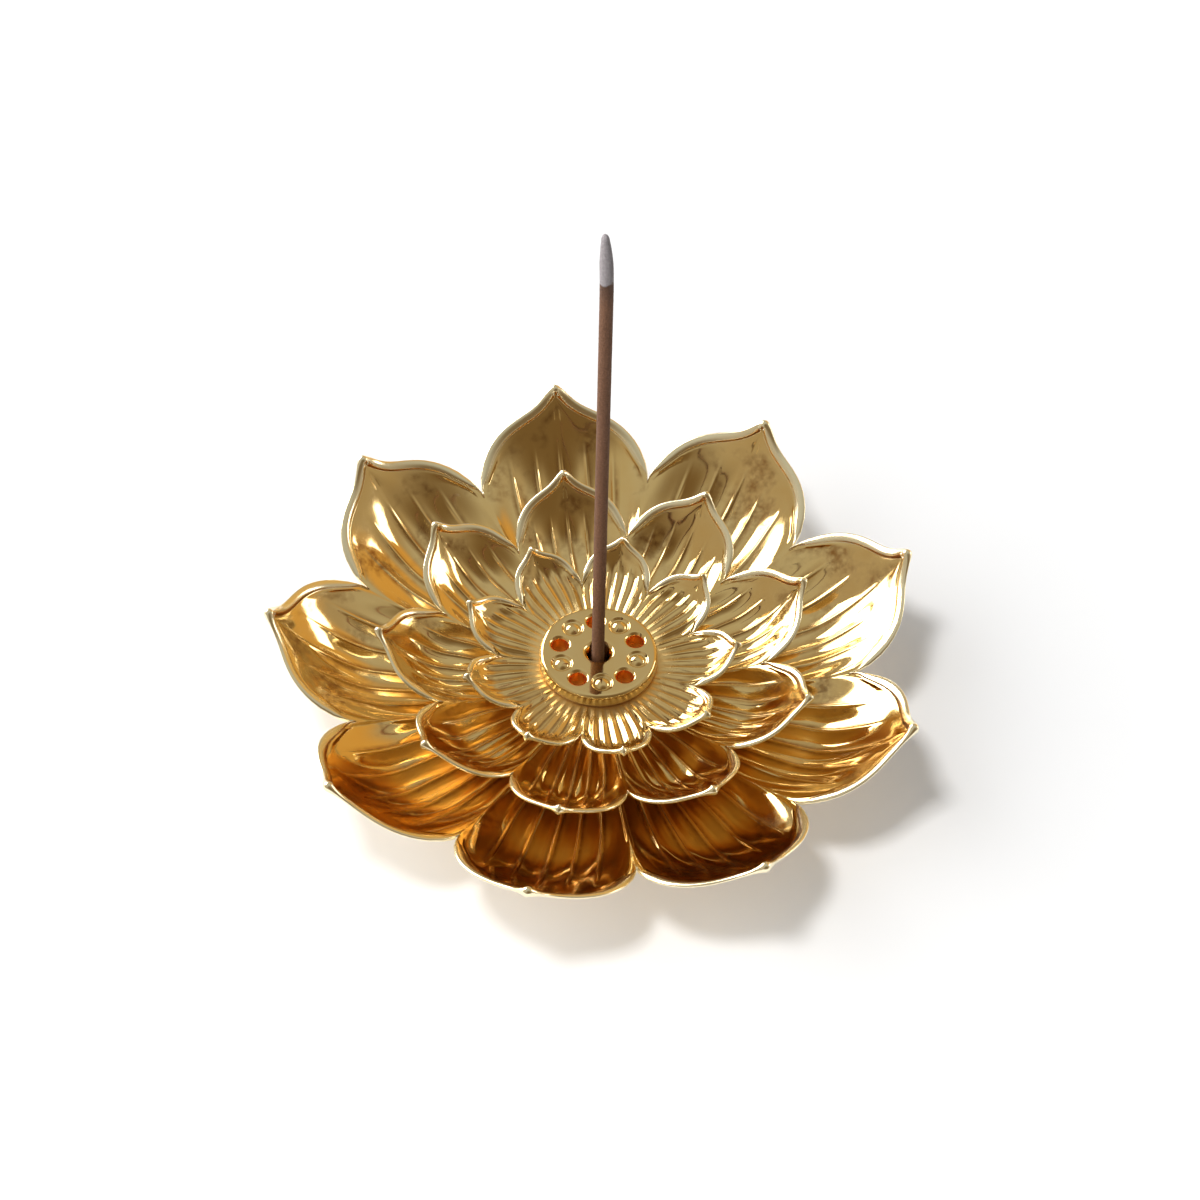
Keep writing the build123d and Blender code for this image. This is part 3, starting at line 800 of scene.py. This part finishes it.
def zinc_plate(finish):
    """Bright zinc with polishing marks and a bluish mottle."""
    material, tree, shader, place = new_material("zinc_plate")
    clouds = effect(tree, "surface_mottle", place, *ZINC_CLOUDS)
    marks = effect(tree, "polish_marks", place, ZINC_MARKS)["Marks"]
    darker = [ZINC_SHADE * part for part in finish.zinc]
    dress(tree, shader, blend(tree, clouds["Mask"], darker, finish.zinc), between(tree, marks, *ZINC_ROUGHNESS),
          math_node(tree, "ADD", clouds["Fine"], marks), ZINC_DEPTH, metallic=1.0)
    return material


def pad_rubber(finish):
    """Matt black rubber with a fine grain and dusty clouds."""
    material, tree, shader, place = new_material("pad_rubber")
    clouds = effect(tree, "surface_mottle", place, *RUBBER_CLOUDS)
    dusty = [RUBBER_DUST * part for part in finish.rubber]
    dress(tree, shader, blend(tree, clouds["Mask"], finish.rubber, dusty),
          between(tree, clouds["Fine"], *RUBBER_ROUGHNESS), clouds["Fine"], RUBBER_DEPTH)
    return material


def gold_material(context):
    """The gold plate, made once for all the plated pieces."""
    return bpy.data.materials.get("polished_gold") or gold_plate(context.scene.lotus.finish)


def direction(azimuth, elevation):
    """Unit vector towards an azimuth and an elevation, both in degrees."""
    turn, height = radians(azimuth), radians(elevation)
    return Vector((cos(turn) * cos(height), sin(turn) * cos(height), sin(height)))


# Operators

class LOTUS_OT_petal_tiers(bpy.types.Operator):
    """Make the three tiers of ribbed petals"""
    bl_idname = "lotus.petal_tiers"
    bl_label = "Petal tiers"

    def execute(self, context):
        lotus = context.scene.lotus
        gold = gold_material(context)
        for name, body in (("outer", "base"), ("middle", "middle_tier"), ("inner", "inner_tier")):
            grid, layers = tier_grid(getattr(lotus, name), lotus.sheet)
            piece(f"{name}_petals", [grid], gold, body, [f"{name}_petal_tier"],
                  closed=True, layers=layers)
        return {"FINISHED"}


class LOTUS_OT_seed_pod(bpy.types.Operator):
    """Make the seed pod with its holes, domes, mouth and stem"""
    bl_idname = "lotus.seed_pod"
    bl_label = "Seed pod"

    def execute(self, context):
        grids, layers = pod_grids(context.scene.lotus.pod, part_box("seed_pod")[1].z)
        piece("pod", grids, gold_material(context), "base", ["seed_pod"], sharp=POD_SHARP,
              layers=layers)
        return {"FINISHED"}


class LOTUS_OT_incense_stick(bpy.types.Operator):
    """Make the partly burnt incense stick"""
    bl_idname = "lotus.incense_stick"
    bl_label = "Incense stick"

    def execute(self, context):
        stick = context.scene.lotus.stick
        foot = context.scene.lotus.pod.socket_floor + stick.radius * tan(stick.lean)
        piece("stick", [stick_grid(stick, foot)], incense_paste(stick, foot), "stick",
              ["incense_stick"], sharp=STICK_SHARP)
        return {"FINISHED"}


class LOTUS_OT_turned_pieces(bpy.types.Operator):
    """Make the two spacer rings"""
    bl_idname = "lotus.turned_pieces"
    bl_label = "Spacer rings"

    def execute(self, context):
        lotus = context.scene.lotus
        gold = gold_material(context)
        bore = lotus.sheet.bore_radius
        for name in ("lower_spacer", "upper_spacer"):
            low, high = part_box(name)
            outline = [(bore, low.z), (bore, high.z), (high.x, high.z), (high.x, low.z)]
            ring = turned_grid(rounded(outline, SPACER_ROUND), even_turns(SPACER_TURNS))
            piece(f"{name}_ring", [ring], gold, "base", [name], closed=True, sharp=SPACER_SHARP)
        return {"FINISHED"}


class LOTUS_OT_steel_finish(bpy.types.Operator):
    """Finish the screw, the washer, the foot and its pad"""
    bl_idname = "lotus.steel_finish"
    bl_label = "Screw, washer, foot and pad"

    def execute(self, context):
        finish = context.scene.lotus.finish
        zinc, rubber = zinc_plate(finish), pad_rubber(finish)
        for name, material in (("clamp_screw", zinc), ("screw_washer", zinc), ("foot_pad", rubber),
                               ("base_foot", gold_material(context))):
            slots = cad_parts[name].data.materials
            slots.clear()
            slots.append(material)
        return {"FINISHED"}


class LOTUS_OT_stage(bpy.types.Operator):
    """Set the floor, the soft light and the camera"""
    bl_idname = "lotus.stage"
    bl_label = "Studio"

    def execute(self, context):
        studio = context.scene.lotus.studio
        context.scene.view_settings.view_transform = "Standard"
        context.scene.cycles.glossy_bounces = MIRROR_BOUNCES
        self.floor(studio)
        self.sky(context, studio)
        for lamp in LAMPS:
            self.soft_box(*lamp)
        self.camera(context, studio)
        return {"FINISHED"}

    def seen(self, tree):
        """1 where a surface is looked at, straight or in a mirror, and 0 where it only sheds light."""
        path = node(tree, "ShaderNodeLightPath").outputs
        seen = math_node(tree, "ADD", path["Is Camera Ray"], path["Is Glossy Ray"])
        return math_node(tree, "MINIMUM", math_node(tree, "ADD", seen, path["Is Transmission Ray"]), 1.0)

    def floor(self, studio):
        """A wide pale plane. The glow is added only where the floor is seen, straight or in a mirror, and grows
        away from the flower, where less of the lamps' light falls."""
        material, tree, shader, place = new_material("pale_floor")
        away = node(tree, "ShaderNodeVectorMath", {0: place}, operation="LENGTH").outputs["Value"]
        glow = ramp(tree, away, *GLOW_REACH, studio.floor_glow, studio.far_glow, kind="SMOOTHSTEP")
        feed(tree, shader, {
            "Base Color": (*studio.floor, 1.0), "Roughness": 1.0, "Specular IOR Level": 0.0,
            "Emission Color": (1.0, 1.0, 1.0, 1.0),
            "Emission Strength": math_node(tree, "MULTIPLY", self.seen(tree), glow)})
        corners = [(FLOOR_HALF * x, FLOOR_HALF * y, 0) for x, y in ((-1, -1), (1, -1), (1, 1), (-1, 1))]
        mesh = bpy.data.meshes.new("floor")
        mesh.from_pydata(corners, [], [(0, 1, 2, 3)])
        mesh.materials.append(material)
        made = add("floor", mesh)

    def sky(self, context, studio):
        """Soft surroundings: tan walls and a paler ceiling, dark where the camera stands, and a warm card. Matt
        surfaces get plain daylight from the left instead."""
        world = bpy.data.worlds.new("soft_room")
        world.use_nodes = True
        tree = world.node_tree
        outward = node(tree, "ShaderNodeTexCoord").outputs["Generated"]

        def patch(azimuth, elevation, inner, outer):
            """A round patch of the surroundings with a soft edge between two angles from its middle."""
            middle = direction(azimuth, elevation)
            near = node(tree, "ShaderNodeVectorMath", {0: outward, 1: middle}, operation="DOT_PRODUCT")
            return ramp(tree, near.outputs["Value"], cos(radians(outer)), cos(radians(inner)), kind="SMOOTHSTEP")

        shade = studio.walls
        for name, place in ROOM_PATCHES.items():
            shade = blend(tree, patch(*place), shade, getattr(studio, name))
        daylight = [studio.daylight_level * part for part in studio.daylight]
        plain = blend(tree, patch(*DAYLIGHT_PATCH), studio.shade, daylight)
        feed(tree, tree.nodes["Background"], {"Color": blend(tree, self.seen(tree), plain, shade)})
        context.scene.world = world

    def soft_box(self, name, azimuth, elevation, distance, size, level, use):
        """A rectangular light that faces the flower. Its power gives the box the stated brightness. It is used
        on metal, where it is mirrored, or on matt surfaces."""
        lamp = bpy.data.lights.new(name, "AREA")
        lamp.shape = "RECTANGLE"
        lamp.size, lamp.size_y = size
        lamp.energy = level * pi * size[0] * size[1]
        made = add(name, lamp)
        made.visible_glossy, made.visible_diffuse = use == "metal", use == "matt"
        towards = direction(azimuth, elevation)
        made.location = towards * distance
        made.rotation_euler = towards.to_track_quat("Z", "Y").to_euler()

    def camera(self, context, studio):
        """The camera stands back from its target and is rolled about its own axis."""
        lens = bpy.data.cameras.new("camera")
        lens.sensor_width = SENSOR_WIDTH
        lens.lens = studio.lens
        lens.clip_start, lens.clip_end = CLIP_START, CLIP_END
        turn = Matrix.Rotation(studio.azimuth, 4, "Z")
        tilt = Matrix.Rotation(pi / 2 - studio.elevation, 4, "X")
        roll = Matrix.Rotation(studio.roll, 4, "Z")
        back = Matrix.Translation((0, 0, studio.distance))
        made = add("camera", lens)
        made.matrix_world = Matrix.Translation(studio.target) @ turn @ tilt @ roll @ back
        context.scene.camera = made


class LOTUS_PT_panel(bpy.types.Panel):
    """Buttons and sizes of the incense stick holder"""
    bl_idname = "LOTUS_PT_panel"
    bl_label = "Lotus incense stick holder"
    bl_space_type = "VIEW_3D"
    bl_region_type = "UI"
    bl_category = "Lotus"

    def draw(self, context):
        for operator in OPERATORS:
            self.layout.operator(operator.bl_idname)
        for part in LotusSettings.__annotations__:
            group, box = getattr(context.scene.lotus, part), self.layout.box()
            for key in group.bl_rna.properties.keys():
                if key not in {"rna_type", "name"}:
                    box.prop(group, key)


SETTINGS = (OuterTierSettings, MiddleTierSettings, InnerTierSettings, SheetSettings, PodSettings,
            StickSettings, FinishSettings, StudioSettings, LotusSettings)
OPERATORS = (LOTUS_OT_petal_tiers, LOTUS_OT_seed_pod, LOTUS_OT_turned_pieces, LOTUS_OT_steel_finish,
             LOTUS_OT_incense_stick, LOTUS_OT_stage)


def register():
    for made in (*SETTINGS, *OPERATORS, LOTUS_PT_panel):
        bpy.utils.register_class(made)
    bpy.types.Scene.lotus = part_group(LotusSettings, "Lotus", "Settings of the incense stick holder")


def unregister():
    del bpy.types.Scene.lotus
    for made in reversed((*SETTINGS, *OPERATORS, LOTUS_PT_panel)):
        bpy.utils.unregister_class(made)


def main():
    """Make every piece and the stage, and note the box of the CAD and of the visual model."""
    register()
    bpy.ops.lotus.petal_tiers()
    bpy.ops.lotus.seed_pod()
    bpy.ops.lotus.turned_pieces()
    bpy.ops.lotus.steel_finish()
    bpy.ops.lotus.incense_stick()
    bpy.ops.lotus.stage()


if __name__ == "__main__":
    main()
